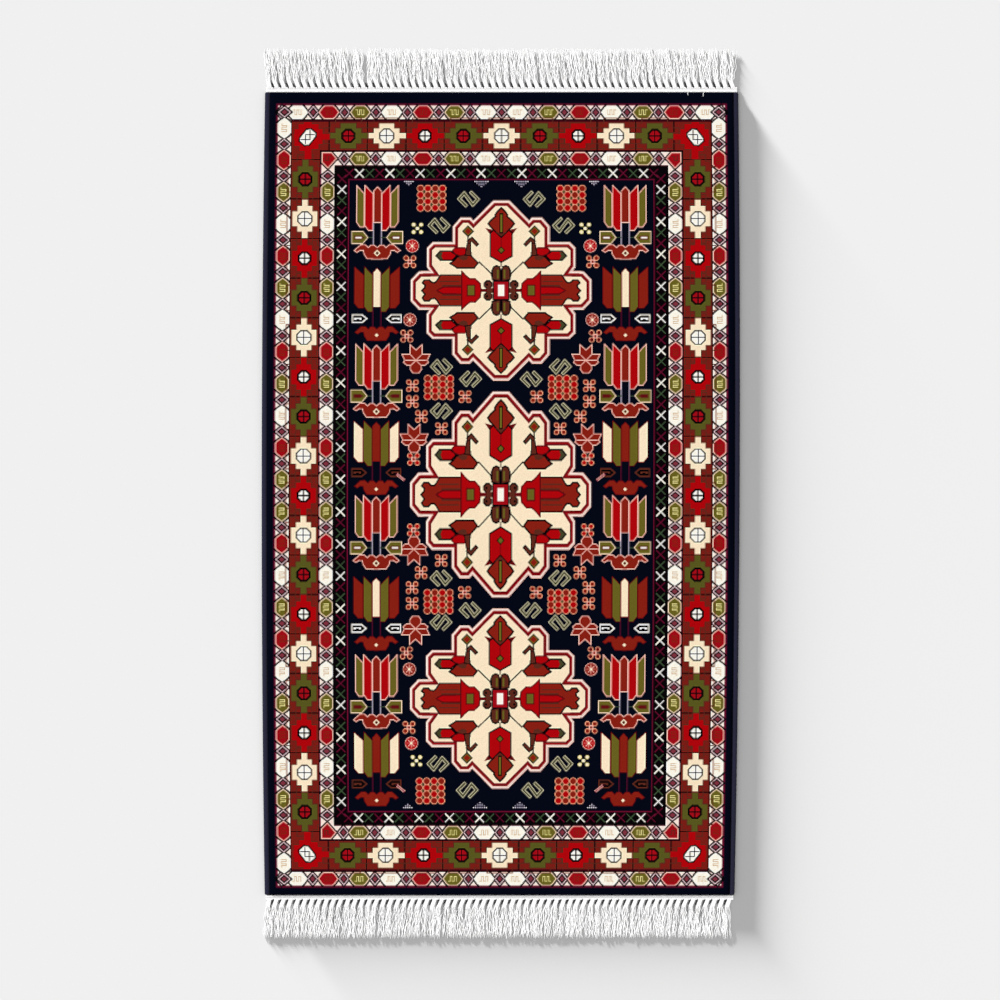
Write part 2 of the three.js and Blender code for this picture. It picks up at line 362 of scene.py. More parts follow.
def main_border(pen, centre_u, centre_v, half):
    pen.box(-centre_u - half, -centre_v - half, 0, -centre_v + half, "brick")
    pen.box(-centre_u - half, -centre_v - half, -centre_u + half, 0, "brick")
    across = pen.at(0, -centre_v)
    along = pen.at(-centre_u, 0, turned=True)
    runs = (
        (across, 38.4, ("cream", "green", "red", "cream", "green")),
        (along, 39.6, ("red", "cream", "green", "red", "cream", "green", "red", "cream", "green")),
    )
    for run, pitch, yarns in runs:
        for k in range(len(yarns)):
            run.line([(-pitch * (k + 0.5), -half), (-pitch * (k + 0.5), half)], 1.0, "black")
            run.at(-pitch * k, 0).line(stepped_cross(5.2), 0.9, "brown", closed=True)
        for k, yarn in enumerate(yarns):
            border_cross(run.at(-pitch * k, 0), yarn)
    corner_cross(pen.at(-centre_u + 2, -centre_v + 1.3))


def row_of_crosslets(pen, start, pitch, count, yarns):
    """Small saltires in a row, from the middle of a side outwards, towards -u."""
    for k in range(count):
        place = pen.at(-start - pitch * k, 0)
        yarn = yarns[k % 3]
        width = 1.3 if yarn == "white" else 1.1
        for slope in (1, -1):
            place.line([(-4.1, -4.1 * slope), (4.1, 4.1 * slope)], width, yarn)


# ---------- Design: medallions
MEDALLION_QUARTER = [(-89.8, -10.2), (-81.8, -18.7), (-70.3, -18.9), (-73.8, -23.8), (-73.8, -42.3)]
MEDALLION_QUARTER += [(-68, -48), (-48, -48), (-48, -63.8), (-40.3, -72.7), (-31, -72.7)]
MEDALLION_QUARTER += [(-27.8, -69.3), (-7.8, -89.6)]
MEDALLION_OUTLINE = four_way(MEDALLION_QUARTER)


def upright_flower(pen):
    """The flower above the medallion's centre; pen's -v points away from the centre."""
    pen.line([(0, -29), (0, -24)], 1.0, "black")
    for side in (1, -1):
        pen.fill([(side * 15.8, -62.4), (side * 9, -60.8), (side * 10, -54.8)], "maroon")
    body = mirrored([(0, -28.3), (-10.6, -34.2), (-10.6, -58), (-7.0, -61.0), (0, -60)])
    pen.outlined(body, "red", "black", 1.3)
    bloom = [(0, -82.8), (-3.6, -79.4), (-6, -76), (-5.6, -74.4), (-10.6, -70), (-13, -67)]
    pen.outlined(mirrored(bloom + [(-10.4, -63.6), (0, -53.2)]), "rust", "black", 1.5)
    pen.fill([(-6.2, -59.2), (0, -57), (6.2, -59.2), (0, -53.8)], "brown")
    pen.line([(0, -76), (0, -58.8)], 3.6, "black")
    pen.line([(0, -75.6), (0, -59.2)], 1.9, "olive")
    pen.line([(0, -53), (0, -44)], 0.9, "maroon")
    pen.diamond(0, -40.2, 3.9, 3.9, "black")
    pen.diamond(0, -40.2, 2.9, 2.9, "olive")


def side_flower(pen):
    """The large flower to the left of the centre; pen's -u points away from the centre."""
    pen.line([(-21, 0), (-13, 0)], 3.0, "maroon")
    head = [(-62, -9.6), (-64.6, -9), (-66.5, -7.8), (-69.5, -8.2), (-71.6, -10.3), (-76.5, -10.3)]
    head += [(-78.6, -7.6), (-75.6, -5.2), (-76.4, -2.6), (-79.2, 0), (-75.8, 3.8), (-78.6, 7.4)]
    head += [(-76.5, 10.3), (-71.6, 10.3), (-69.5, 8.2), (-66.5, 7.8), (-64.6, 9), (-62, 9.6)]
    pen.outlined(head, "rust", "black", 1.4)
    for side in (1, -1):
        feather = [(-39.5, -2), (-62.5, -2), (-64.6, -9), (-60.6, -15.2), (-39.5, -15.2)]
        feather = [(u, v * side) for u, v in feather]
        pen.fill(feather, "rust")
        pen.line(feather[2:], 1.3, "black")
        pen.line([(-61, -9 * side), (-42, -9 * side)], 1.1, "brown")
        pen.line([(-58, -4.6 * side), (-40, -4.6 * side)], 1.8, "brown")
    tongue = [(-39.5, -3.6), (-58, -3.4), (-64, 0), (-58, 3.4), (-39.5, 3.6)]
    pen.outlined(tongue, "red", "maroon", 1.3)
    body = [(-39.4, -19.2), (-35, -14.6), (-31, -11.5), (-26, -11.6), (-21, -6.8), (-20.1, 0)]
    body += [(u, -v) for u, v in reversed(body[:-1])]
    pen.outlined(body, "red", "maroon", 1.3)
    pen.box(-34.2, -5.8, -25.8, 5.8, "maroon")
    pen.box(-33.2, -4.8, -26.8, 4.8, "olive")


def corner_sprig(pen):
    """The bird-like sprig in the medallion's upper left quarter."""
    pen.line([(-22, -28.6), (-10, -17), (-9.4, -14)], 1.1, "black")
    pen.line([(-33.2, -55), (-33.2, -50)], 1.0, "black")
    pen.diamond(-33.2, -59.3, 5.9, 5.9, "black")
    pen.diamond(-33.2, -59.3, 4.8, 4.8, "olive")
    pen.diamond(-33.2, -59.3, 3.4, 3.4, "rust")
    leaf = [(-51, -27), (-47, -30), (-44, -33.6), (-40, -35.6), (-31, -35.6), (-23, -27.6)]
    leaf += [(-27, -22.6), (-44, -22.6), (-46.6, -24.4)]
    pen.outlined(leaf, "rust", "black", 1.4)
    pen.fill([(-43.5, -33), (-40, -35), (-33, -35), (-34, -31), (-38, -30)], "brown")
    tip = [(-65, -34.6), (-61, -39.2), (-50, -39.2), (-44, -35), (-49, -30.2), (-60.4, -30.2)]
    pen.outlined(tip, "red", "black", 1.4)
    cap = [(-64.2, -34.6), (-60.8, -38.4), (-58.2, -38.2), (-59.8, -34.6), (-58, -31), (-60.4, -31)]
    pen.fill(cap, "moss")
    lobe = [(-48.6, -40), (-46, -42.6), (-36, -42.6), (-34, -40), (-35.4, -36), (-41, -34.8)]
    pen.outlined(lobe + [(-46, -36.6)], "red", "maroon", 1.1)
    stem = [(-33.4, -49.5), (-30.4, -50), (-30.4, -40), (-29.8, -34.6), (-36, -35.6), (-34.6, -43)]
    pen.outlined(stem, "brown", "black", 0.8)
    pen.line([(-32.2, -49), (-29.4, -51.4), (-24.4, -46.2)], 3.9, "black")
    pen.line([(-32.2, -48.6), (-29.4, -51.2), (-24.8, -46.6)], 2.2, "brown")


def medallion_heart(pen):
    """The box at the medallion's centre with its four pairs of leaves and curls."""
    for up in (1, -1):
        for side in (1, -1):
            leaf = [(-8.8, -11), (-9, -20), (-7.4, -23.6), (-4.6, -24.8), (-1.8, -23.8), (-0.6, -20)]
            leaf = [(u * side, v * up) for u, v in leaf + [(-0.8, -9)]]
            pen.outlined(leaf, "brown", "black", 1.3)
            pen.line([(-3.3 * side, -20 * up), (-3.3 * side, -12.8 * up)], 2.0, "olive")
            pen.disc(-13 * side, -5.8 * up, 4.7, "black")
            pen.disc(-12.6 * side, -5.6 * up, 3.5, "brown")
            pen.disc(-14.2 * side, -5.8 * up, 1.2, "black", 6)
    pen.box(-14, -2.4, 14, 2.4, "brown")
    pen.box(-8.4, -9.8, 8.4, 9.8, "black")
    pen.box(-7.4, -8.8, 7.4, 8.8, "garnet")
    pen.box(-3.3, -5.8, 3.3, 5.8, "white")


MEDALLION_RING = (
    # how far in from the outline each line of the edging starts, and its yarn
    (-0.7, "pink"),
    (-0.2, "blush"),
    (1.3, "pink"),
    (2.0, "maroon"),
    (2.5, "garnet"),
    (3.4, "maroon"),
    (4.8, "pink"),
    (5.2, "cream"),
)


def medallion(pen):
    for depth, yarn in MEDALLION_RING:
        pen.fill(inset(MEDALLION_OUTLINE, depth), yarn)
    for flip in (False, True):
        upright_flower(pen.at(0, 0, flip_v=flip))
        side_flower(pen.at(0, 0, flip_u=flip))
        for flip_u in (False, True):
            corner_sprig(pen.at(0, 0, flip_u=flip_u, flip_v=flip))
    medallion_heart(pen)


# ---------- Design: the field's small motifs
def tuft_grid(pen, pitch_u, pitch_v):
    """Four by four round tufts in two reds, edged with peach, and olive points between them."""
    tufts = [(i, j) for j in range(4) for i in range(4)]
    for i, j in tufts:
        pen.disc((i - 1.5) * pitch_u, (j - 1.5) * pitch_v, 3.9, "peach", 10)
    for i, j in tufts:
        yarn = "red" if (i + j) % 2 else "rust"
        pen.disc((i - 1.5) * pitch_u, (j - 1.5) * pitch_v, 2.9, yarn, 10)
    for i, j in tufts:
        if i < 3 and j < 3:
            pen.diamond((i - 1) * pitch_u, (j - 1) * pitch_v, 1.1, 1.1, "olive")


def hook(pen):
    """A double-edged S hook, laid on its side."""
    half = [(-2.6, 6.6), (-9.4, -0.1), (-4.3, -5.8)]
    path = half + [(-u, -v) for u, v in reversed(half)]
    pen.line(path, 3.5, "oat")
    pen.line(path, 1.5, "moss")


def four_discs(pen, reach, radius, yarn):
    for u in (-reach, reach):
        for v in (-reach, reach):
            pen.disc(u, v, radius, yarn)


def saltire_flower(pen, heart):
    """Four round petals set crosswise, each with a darker heart."""
    four_discs(pen, 3.6, 3.0, "peach")
    pen.disc(0, 0, 2.6, "pink")
    four_discs(pen, 3.6, 1.9, heart)
    pen.disc(0, 0, 1.3, "rust")


def star_flower(pen):
    """Four pale petals on olive arms."""
    for slope in (-1, 1):
        pen.line([(-3.7, -3.7 * slope), (3.7, 3.7 * slope)], 1.2, "olive")
    four_discs(pen, 3.7, 2.2, "straw")
    four_discs(pen, 3.7, 1.5, "cream")
    pen.disc(0, 0, 1.9, "cream")


def rosette(pen, yarn):
    pen.disc(0, 0, 6.7, "pink", 16)
    pen.disc(0, 0, 5.9, yarn, 16)
    for k in range(4):
        angle = k * math.pi / 4
        end = (4.4 * math.cos(angle), 4.4 * math.sin(angle))
        pen.line([(-end[0], -end[1]), end], 0.8, "pink")
    pen.disc(0, 0, 1.3, "cream")


def star_leaf(pen):
    """A leaf with a crown of two points above, two pairs of side points and a round foot."""
    left = [(0, -10.4), (-6, -15.8), (-6, -6.2), (-14, -6.2), (-11.2, -0.2), (-12.4, 2), (-8.8, 5)]
    left += [(-5.4, 5), (-5.6, 9), (-3.2, 12.4), (0, 12.6)]
    pen.outlined(mirrored(left), "rust", "pink", 1.1)
    for end in ((-5, -5.2), (5, -5.2), (-10, 0), (10, 0), (-4.6, 4.6), (4.6, 4.6)):
        pen.line([(0, 0), end], 1.0, "pink")


def dotted_triangle(pen, widest):
    for row, count in enumerate(range(widest, 0, -2)):
        for i in range(count):
            pen.disc((i - (count - 1) / 2) * 2.1, 1.7 * row, 0.75, "lilac", 6)


def field_motifs(pen):
    """Everything in the upper left quarter of the field that the other quarters mirror."""
    dotted_triangle(pen.at(-92.6, -313.6), 5)
    dotted_triangle(pen.at(-20, -313.6), 7)
    tuft_grid(pen.at(-69.8, -296.8), 7.35, 6.5)
    tuft_grid(pen.at(-61.6, -107.2), 7.5, 6.0)
    for u, v in ((-32.8, -296), (-62.2, -269.5), (-59.2, -128)):
        hook(pen.at(u, v))
    for u, v in ((-30.2, -115.6), (-59.2, -83.8)):
        hook(pen.at(u, v, flip_v=True))
    star_flower(pen.at(-83.8, -266.6))
    rosette(pen.at(-88.8, -249), "red")
    rosette(pen.at(-90.8, -175), "rust")
    for u, v, heart in (
        (-91.2, -233.2, "rust"),
        (-93.8, -158.6, "maroon"),
        (-88, -109, "rust"),
        (-88, -93.2, "rust"),
        (-79, -78.2, "rust"),
        (-59, -66, "rust"),
        (-35.6, -98, "rust"),
        (-86.6, -35.4, "red"),
    ):
        saltire_flower(pen.at(u, v), heart)
    star_leaf(pen.at(-84.6, -134.4))
    star_leaf(pen.at(-86.2, -54.6))


# ---------- Design: the columns of tulips
def petal(inner, outer, tip, slope, foot, heel):
    """A petal of a tulip, left of its middle: an outer edge with a tip, and a slanted top and foot."""
    base = foot + heel
    corner = outer * 0.55 + inner * 0.45
    return [(outer, tip), (inner, tip + slope), (inner, base), (corner, base), (outer, foot)]


TULIPS = {
    # outer petals, inner petals, middle petal, edging, side leaves
    "edged": ("olive", "red", "rust", "pink", "olive"),
    "cream_middle": ("rust", "olive", "cream", None, "white"),
    "cream_sides": ("cream", "olive", "rust", None, "brown"),
}


def tulip(pen, kind, bar):
    """A tulip from its petals' tips down: its stem, two side leaves and a lotus at its foot."""
    outer_yarn, inner_yarn, middle_yarn, edge, leaf_yarn = TULIPS[kind]
    edge_yarn, edge_width = (edge, 1.1) if edge else ("maroon", 0.7)
    outer = petal(-13.2, -22.4 if edge is None else -20.8, 0.6, 8.2, 37, 5)
    inner = petal(-4.2, -12.6, 0.3, 8.6, 40.4, 5.2)
    stem_top = 37.6 if edge else 41
    for sign in (1, -1):
        for points, yarn in ((outer, outer_yarn), (inner, inner_yarn)):
            shape = [(u * sign, v) for u, v in points]
            pen.outlined(shape, yarn, edge_yarn, edge_width)
    middle = mirrored([(0, 1.8), (-3.9, 6), (-3.9, stem_top)])
    pen.outlined(middle, middle_yarn, edge_yarn, edge_width)
    pen.box(-3.4, stem_top + 0.6, 3.4, 60.5, "navy")
    for sign in (1, -1):
        pen.line([(4 * sign, stem_top), (4 * sign, 60.5)], 1.0, "lilac" if edge else "crimson")
        side_leaf(pen.at(0, 0, flip_u=sign < 0), edge, leaf_yarn, bar)
    lotus(pen, edge)


def side_leaf(pen, edge, yarn, bar):
    if edge:
        pen.line([(-10, 52.6), (-4, 52.6)], 0.8, "sage")
        shape = [(-25.4, 46.5), (-14.2, 46.5), (-9.4, 52.6), (-14.6, 58.7), (-25.4, 58.7)]
        pen.outlined(shape, "olive", "tan", 1.1)
        pen.fill([(-23, 50.6), (-16, 50.6), (-12.4, 52.6), (-16, 54.8), (-23, 54.8)], "brown")
        pen.box(-22, 51.6, -15.4, 53.8, bar)
    else:
        shape = [(-24.2, 48.6), (-14.6, 48.6), (-10, 52.4), (-14.6, 56.2), (-24.2, 56.2)]
        pen.outlined(shape, "black", yarn, 1.5)
        pen.line([(-22, 52.4), (-16, 52.4)], 2.2, yarn)
        pen.line([(-20, 52.9), (-17.6, 52.9)], 0.8, "black")


def lotus(pen, edge):
    left = [(0, 62.6), (-3, 60.2), (-6.4, 60.2), (-8.8, 62.6), (-12, 59.8), (-16.6, 60), (-23, 65.6)]
    left += [(-20.2, 67.4), (-17, 65.4), (-13.8, 65.6), (-13, 69.4), (-10, 73.8), (0, 74.2)]
    if edge:
        pen.outlined(mirrored(left), "rust", edge, 1.1)
        pen.diamond(0, 68.2, 3.4, 3.6, "cream")
        pen.diamond(0, 68.2, 1.7, 1.8, "brown")
    else:
        pen.outlined(mirrored([(u * 0.94, v + 0.4) for u, v in left]), "rust", "maroon", 0.8)
        pen.diamond(0, 69, 2, 2, "cream")


TULIP_U = -123.8
TULIP_COLUMN = (
    # where the petals' tips are, the tulip's kind, and the bar in its side leaves
    (-310, "edged", "white"),
    (-228.6, "cream_middle", None),
    (-151.4, "edged", "maroon"),
    (-74.4, "cream_sides", None),
    (0.6, "edged", "white"),
    (81.6, "cream_middle", None),
    (160, "edged", "maroon"),
    (237.4, "cream_sides", None),
)


def tulip_column(pen):
    for v, kind, bar in TULIP_COLUMN:
        place = pen.at(TULIP_U, v)
        tulip(place, kind, bar)
        if kind == "cream_sides":
            place.line([(20.5, 54), (27.5, 59.6)], 2.6, "crimson")
            place.line([(21, 53.4), (28.4, 59.4)], 0.9, "pink")
            place.line([(20.4, 55), (27, 60.4)], 0.9, "pink")


# ---------- Design: the whole chart
GUARD_A = (217.8, 383.8)
MAIN = (196.2, 360.2)
GUARD_B = (173.7, 337.4)
CROSSLETS = (159.4, 322.8)
MEDALLION_STEP = 204.4
MEDALLION_STRETCH = (1, 1.145, 1)  # the middle medallion is longer than the other two


def draw_borders():
    """One quarter of the borders, which the other three mirror, and the bare field."""
    half = COLUMNS // 2
    quarter = np.full((FAR_ROWS * SAMPLES, half * SAMPLES), INK["navy"], np.uint8)
    pen = Pen(quarter, (-half, -FAR_ROWS), SAMPLES)
    pen.box(-226.2, -392.6, 0, 0, "crimson")
    pen.box(-211.5, -377.6, 0, 0, "claret")
    guard_border(pen, *GUARD_A, 7, 12)
    main_border(pen, *MAIN, 14.2)
    pen.box(-181.8, -345.4, 0, 0, "black")
    pen.box(-181, -344.6, 0, 0, "crimson")
    guard_border(pen, *GUARD_B, 5, 10)
    shield(pen.at(-GUARD_B[0], -GUARD_B[1]))
    pen.box(-167, -330.4, 0, 0, "black")
    row_of_crosslets(pen.at(0, -CROSSLETS[1]), 0, 10.15, 16, ("crimson", "sage", "white"))
    side = pen.at(-CROSSLETS[0], 0, turned=True)
    row_of_crosslets(side, 5.4, 10.75, 30, ("sage", "white", "crimson"))
    pen.box(-153.4, -317.2, 0, 0, "crimson")
    pen.box(-152, -315.8, 0, 0, "navy")
    return quarter


def draw_chart():
    """The yarn of each sample of the chart. The right half mirrors the left."""
    quarter = draw_borders()
    near = quarter[::-1][: (ROWS - FAR_ROWS) * SAMPLES]
    left = np.concatenate([quarter, near])
    pen = Pen(left, (-COLUMNS / 2, -FIELD_ROWS), SAMPLES)
    for flip in (False, True):
        field_motifs(pen.at(0, 0, flip_v=flip))
    for k, stretch in enumerate(MEDALLION_STRETCH, -1):
        medallion(pen.at(0, MEDALLION_STEP * k, stretch=stretch))
    tulip_column(pen)
    return np.concatenate([left, left[:, ::-1]], 1)


def to_linear(srgb):
    c = np.asarray(srgb, float)
    return np.where(c <= 0.04045, c / 12.92, ((c + 0.055) / 1.055) ** 2.4)


def knot_colours(chart):
    """The linear colour of each knot, from its samples, with the edges between yarns kept crisp."""
    palette = np.array([YARNS[name] for name in YARNS], float) / 255
    knots = palette[chart].reshape(ROWS, SAMPLES, COLUMNS, SAMPLES, 3).mean((1, 3))
    round_about = np.pad(knots, ((1, 1), (1, 1), (0, 0)), "edge")
    soft = sum(round_about[j : j + ROWS, i : i + COLUMNS] for j in range(3) for i in range(3)) / 9
    return to_linear(np.clip(knots + CRISPNESS * (knots - soft), 0, 1))


# ---------- Meshes
scene = bpy.context.scene


def mesh_object(name, points, faces, materials, smooth=True):
    mesh = bpy.data.meshes.new(name)
    mesh.from_pydata(np.asarray(points, float).tolist(), [], [list(map(int, face)) for face in faces])
    mesh.polygons.foreach_set("use_smooth", np.full(len(mesh.polygons), smooth))
    for material in materials if isinstance(materials, list) else [materials]:
        mesh.materials.append(material)
    piece = bpy.data.objects.new(name, mesh)
    scene.collection.objects.link(piece)
    return piece


def settle(piece, body, node):
    """Says which body a piece moves with and hides the CAD node that it stands for."""
    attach(piece, body)
    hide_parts(node)
    return piece


def laid(x, y, z):
    """Points of the flat cloth, moved to where they lie."""
    return np.stack(np.broadcast_arrays(lie(x, y), y, z), -1)


class Shell:
    """Points and faces gathered from many parts into one mesh."""

    def __init__(self):
        self.points = []
        self.faces = []
        self.kinds = []
        self.count = 0

    def add(self, points, faces, kind):
        self.points.append(np.asarray(points, float))
        self.faces += [[int(i) + self.count for i in face] for face in faces]
        self.kinds += [kind] * len(faces)
        self.count += len(points)

    def tube(self, path, radius, sides=5, flat=1.0, turn=0.0, kind=0):
        """A yarn along a path of points. radius is a number, or one for each point, flat squashes its
        height, and kind is the number of its material in the finished object."""
        path = np.asarray(path, float)
        ahead = np.gradient(path, axis=0)
        ahead /= np.linalg.norm(ahead, axis=1)[:, None]
        side = np.cross(ahead, (0.0, 0.0, 1.0))
        side /= np.linalg.norm(side, axis=1)[:, None]
        top = np.cross(side, ahead)
        radius = np.broadcast_to(radius, len(path))[:, None, None]
        turns = turn + np.arange(sides) * 2 * math.pi / sides
        across = np.cos(turns)[None, :, None] * side[:, None]
        ring = across + flat * np.sin(turns)[None, :, None] * top[:, None]
        self.add((path[:, None] + radius * ring).reshape(-1, 3), tube_faces(len(path), sides), kind)

    def object(self, name, materials, smooth=True):
        piece = mesh_object(name, np.concatenate(self.points), self.faces, materials, smooth)
        piece.data.polygons.foreach_set("material_index", self.kinds)
        return piece


def tube_faces(stations, sides):
    """The quads between the rings of a tube, then its two ends."""
    s = np.arange(stations - 1)[:, None] * sides
    k = np.arange(sides)[None, :]
    after = (k + 1) % sides
    quads = np.stack([s + k, s + after, s + sides + after, s + sides + k], -1).reshape(-1, 4)
    last = (stations - 1) * sides
    return quads.tolist() + [list(range(sides))[::-1], [last + k for k in range(sides)]]


# ---------- Materials
class Nodes:
    """A material's nodes, made and joined in few words."""

    def __init__(self, name, roughness=0.9, sheen=0.05, specular=0.1):
        self.material = bpy.data.materials.new(name)
        self.material.use_nodes = True
        self.tree = self.material.node_tree
        self.shader = self.tree.nodes["Principled BSDF"]
        self.shader.inputs["Roughness"].default_value = roughness
        self.shader.inputs["Sheen Weight"].default_value = sheen
        self.shader.inputs["Sheen Roughness"].default_value = 0.5
        self.shader.inputs["Specular IOR Level"].default_value = specular

    def add(self, kind, **settings):
        node = self.tree.nodes.new(kind)
        for name, value in settings.items():
            if name in node.inputs:
                node.inputs[name].default_value = value
            else:
                setattr(node, name, value)
        return node

    def join(self, output, socket):
        self.tree.links.new(output, socket)

    def math(self, operation, a, b=None):
        node = self.add("ShaderNodeMath", operation=operation)
        for socket, value in zip(node.inputs, (a, b)):
            if isinstance(value, bpy.types.NodeSocket):
                self.join(value, socket)
            elif value is not None:
                socket.default_value = value
        return node.outputs[0]

    def plus(self, a, b, share):
        """a with a share of b added to it."""
        return self.math("ADD", a, self.math("MULTIPLY", b, share))

    def position(self):
        return self.add("ShaderNodeTexCoord").outputs["Object"]

    def split(self, vector):
        node = self.add("ShaderNodeSeparateXYZ")
        self.join(vector, node.inputs[0])
        return node.outputs

    def noise(self, scale, detail=2.0):
        node = self.add("ShaderNodeTexNoise", Scale=scale, Detail=detail)
        self.join(self.position(), node.inputs["Vector"])
        return node.outputs["Fac"]

    def wave(self, coordinate, period):
        """From -1 to 1 and back over each period of a coordinate."""
        return self.math("SINE", self.math("MULTIPLY", coordinate, 2 * math.pi / period))

    def blend(self, factor, yarn):
        """From the dark of a yarn, which is painted shade in its hollows, to its light, both given as
        sRGB.
        """
        node = self.add("ShaderNodeMix", data_type="RGBA")
        self.join(factor, node.inputs["Factor"])
        ends = [socket for socket in node.inputs if socket.type == "RGBA"]
        for socket, colour in zip(ends, yarn):
            socket.default_value = (*to_linear(np.array(colour) / 255), 1)
        return [socket for socket in node.outputs if socket.type == "RGBA"][0]

    def tint(self, colour, factor, low, high):
        """The colour, darkened to low and lightened to high as the factor goes from 0 to 1."""
        span = self.add("ShaderNodeMapRange")
        self.join(factor, span.inputs["Value"])
        span.inputs["To Min"].default_value = low
        span.inputs["To Max"].default_value = high
        node = self.add("ShaderNodeVectorMath", operation="SCALE")
        self.join(colour, node.inputs[0])
        self.join(span.outputs[0], node.inputs["Scale"])
        return node.outputs[0]

    def finish(self, colour, height, depth):
        """Joins the colour and a bump whose height runs from 0 to 1 over a depth in metres."""
        self.join(colour, self.shader.inputs["Base Color"])
        bump = self.add("ShaderNodeBump", Strength=1.0, Distance=depth)
        self.join(height, bump.inputs["Height"])
        self.join(bump.outputs[0], self.shader.inputs["Normal"])
        return self.material


def pile_material(name):
    """Cut wool: the knot's own colour, each tuft domed and a little uneven, with fine fibres."""
    nodes = Nodes(name, roughness=0.95, sheen=0.0, specular=0.02)
    dye = nodes.add("ShaderNodeAttribute", attribute_name="dye").outputs["Color"]
    uneven = nodes.noise(900, 3)
    colour = nodes.tint(dye, uneven, 0.82, 1.18)
    colour = nodes.tint(colour, nodes.noise(14, 2), 0.95, 1.05)
    x, y, _ = nodes.split(nodes.position())
    dome_x = nodes.wave(x, KNOT_WIDTH)
    dome_y = nodes.wave(y, KNOT_LENGTH)
    dome = nodes.math("MULTIPLY", nodes.math("ADD", dome_x, dome_y), 0.2)
    height = nodes.math("ADD", dome, nodes.noise(2200, 3))
    return nodes.finish(colour, height, 0.3 * MM)


def woven_material(name, yarn, pitch_x, pitch_y, depth):
    """A plain weave, with painted shade where its yarns dip under, and its measures in millimetres."""
    nodes = Nodes(name)
    x, y, _ = nodes.split(nodes.position())
    across = nodes.wave(x, pitch_x * MM)
    along = nodes.wave(y, pitch_y * MM)
    over = nodes.math("MULTIPLY", across, along)
    weave = nodes.math("ADD", nodes.math("MULTIPLY", over, 0.35), 0.5)
    # Painted shade: the yarn takes its dark colour where it dips under the weave.
    mixed = nodes.blend(weave, yarn)
    colour = nodes.tint(mixed, nodes.noise(700, 4), 0.8, 1.15)
    height = nodes.plus(weave, nodes.noise(2500, 2), 0.4)
    return nodes.finish(colour, height, depth * MM)


def twisted_material(name, yarn, axis, pitch, lean, depth, sheen=0.05):
    """Plies that slant across a yarn, with painted shade in the grooves between them, and measures in
    millimetres. It runs along the axis.
    """
    nodes = Nodes(name, sheen=sheen)
    parts = nodes.split(nodes.position())
    run = parts[axis]
    round_it = nodes.math("ADD", parts[2], parts[1 - axis])
    slanted = nodes.plus(run, round_it, lean)
    ply = nodes.math("ADD", nodes.math("MULTIPLY", nodes.wave(slanted, pitch * MM), 0.5), 0.5)
    # Painted shade: the grooves between plies take the yarn's dark colour.
    colour = nodes.tint(nodes.blend(ply, yarn), nodes.noise(1500, 3), 0.88, 1.1)
    height = nodes.plus(ply, nodes.noise(3000, 2), 0.5)
    return nodes.finish(colour, height, depth * MM)


# ---------- Pile
PILE_SLOTS = {
    "pile_outer_band": "navy_pile",
    "pile_outer_guard_border": "ivory_pile",
    "pile_main_border": "rust_pile",
    "pile_inner_guard_border": "ivory_pile",
    "pile_cross_border": "black_pile",
    "pile_field": "navy_pile",
    "pile_medallion_far": "cream_pile",
    "pile_medallion_middle": "cream_pile",
    "pile_medallion_near": "cream_pile",
}
ZONES = tuple(PILE_SLOTS)
# The knots from the design's centre to each zone's rim, from the outer guard border to the field.
ZONE_HALVES = ((225, 391), (210, 376), (181, 345), (167, 330), (153, 316))


def zone_chart():
    """Which pile piece each knot belongs to."""
    zones = np.zeros((ROWS, COLUMNS), np.uint8)
    pen = Pen(zones, (-COLUMNS / 2, -FAR_ROWS), 1)
    for number, (half_u, half_v) in enumerate(ZONE_HALVES, 1):
        pen.box(-half_u, -half_v, half_u, half_v, number)
    for k, stretch in enumerate(MEDALLION_STRETCH, -1):
        place = pen.at(0, MEDALLION_STEP * k + FIELD_ROWS - FAR_ROWS, stretch=stretch)
        place.fill(MEDALLION_OUTLINE, ZONES.index("pile_medallion_middle") + k)
    return zones


def pile_heights():
    """The pile's height at each corner between knots, worn round at the cloth's edge."""
    uneven = rng.uniform(-0.22, 0.12, (ROWS + 1, COLUMNS + 1)) * MM
    i = np.arange(COLUMNS + 1)[None, :]
    j = np.arange(ROWS + 1)[:, None]
    depth = np.minimum(np.minimum(i, COLUMNS - i), np.minimum(j, ROWS - j))
    fall = np.interp(depth, [0, 1, 2, 3], [1.9, 0.7, 0.2, 0])
    return PILE_TOP + uneven - fall * MM


# The corners between knots are numbered row by row. Each is there twice: on top, then at the ground.
ROW_CORNERS = COLUMNS + 1
TOP_CORNERS = ROW_CORNERS * (ROWS + 1)
WALLS = (
    # a knot's neighbour, in rows and columns, and the two corners of the wall between them
    (-1, 0, 0, 1),
    (1, 0, ROW_CORNERS + 1, ROW_CORNERS),
    (0, -1, ROW_CORNERS, 0),
    (0, 1, 1, ROW_CORNERS + 1),
)


def pile_quads(mine):
    """A zone's tops and the walls round it, by their corners, and the knot that each belongs to."""
    around = np.pad(mine, 1)
    rows, columns = np.nonzero(mine)
    corner = rows * ROW_CORNERS + columns
    knots = rows * COLUMNS + columns
    quads = [np.stack([corner + ROW_CORNERS, corner + ROW_CORNERS + 1, corner + 1, corner], 1)]
    owners = [knots]
    for row_step, column_step, first, second in WALLS:
        edge = ~around[1 + rows + row_step, 1 + columns + column_step]
        start = corner[edge] + first
        end = corner[edge] + second
        quads.append(np.stack([start, end, end + TOP_CORNERS, start + TOP_CORNERS], 1))
        owners.append(knots[edge])
    return np.concatenate(quads), np.concatenate(owners)


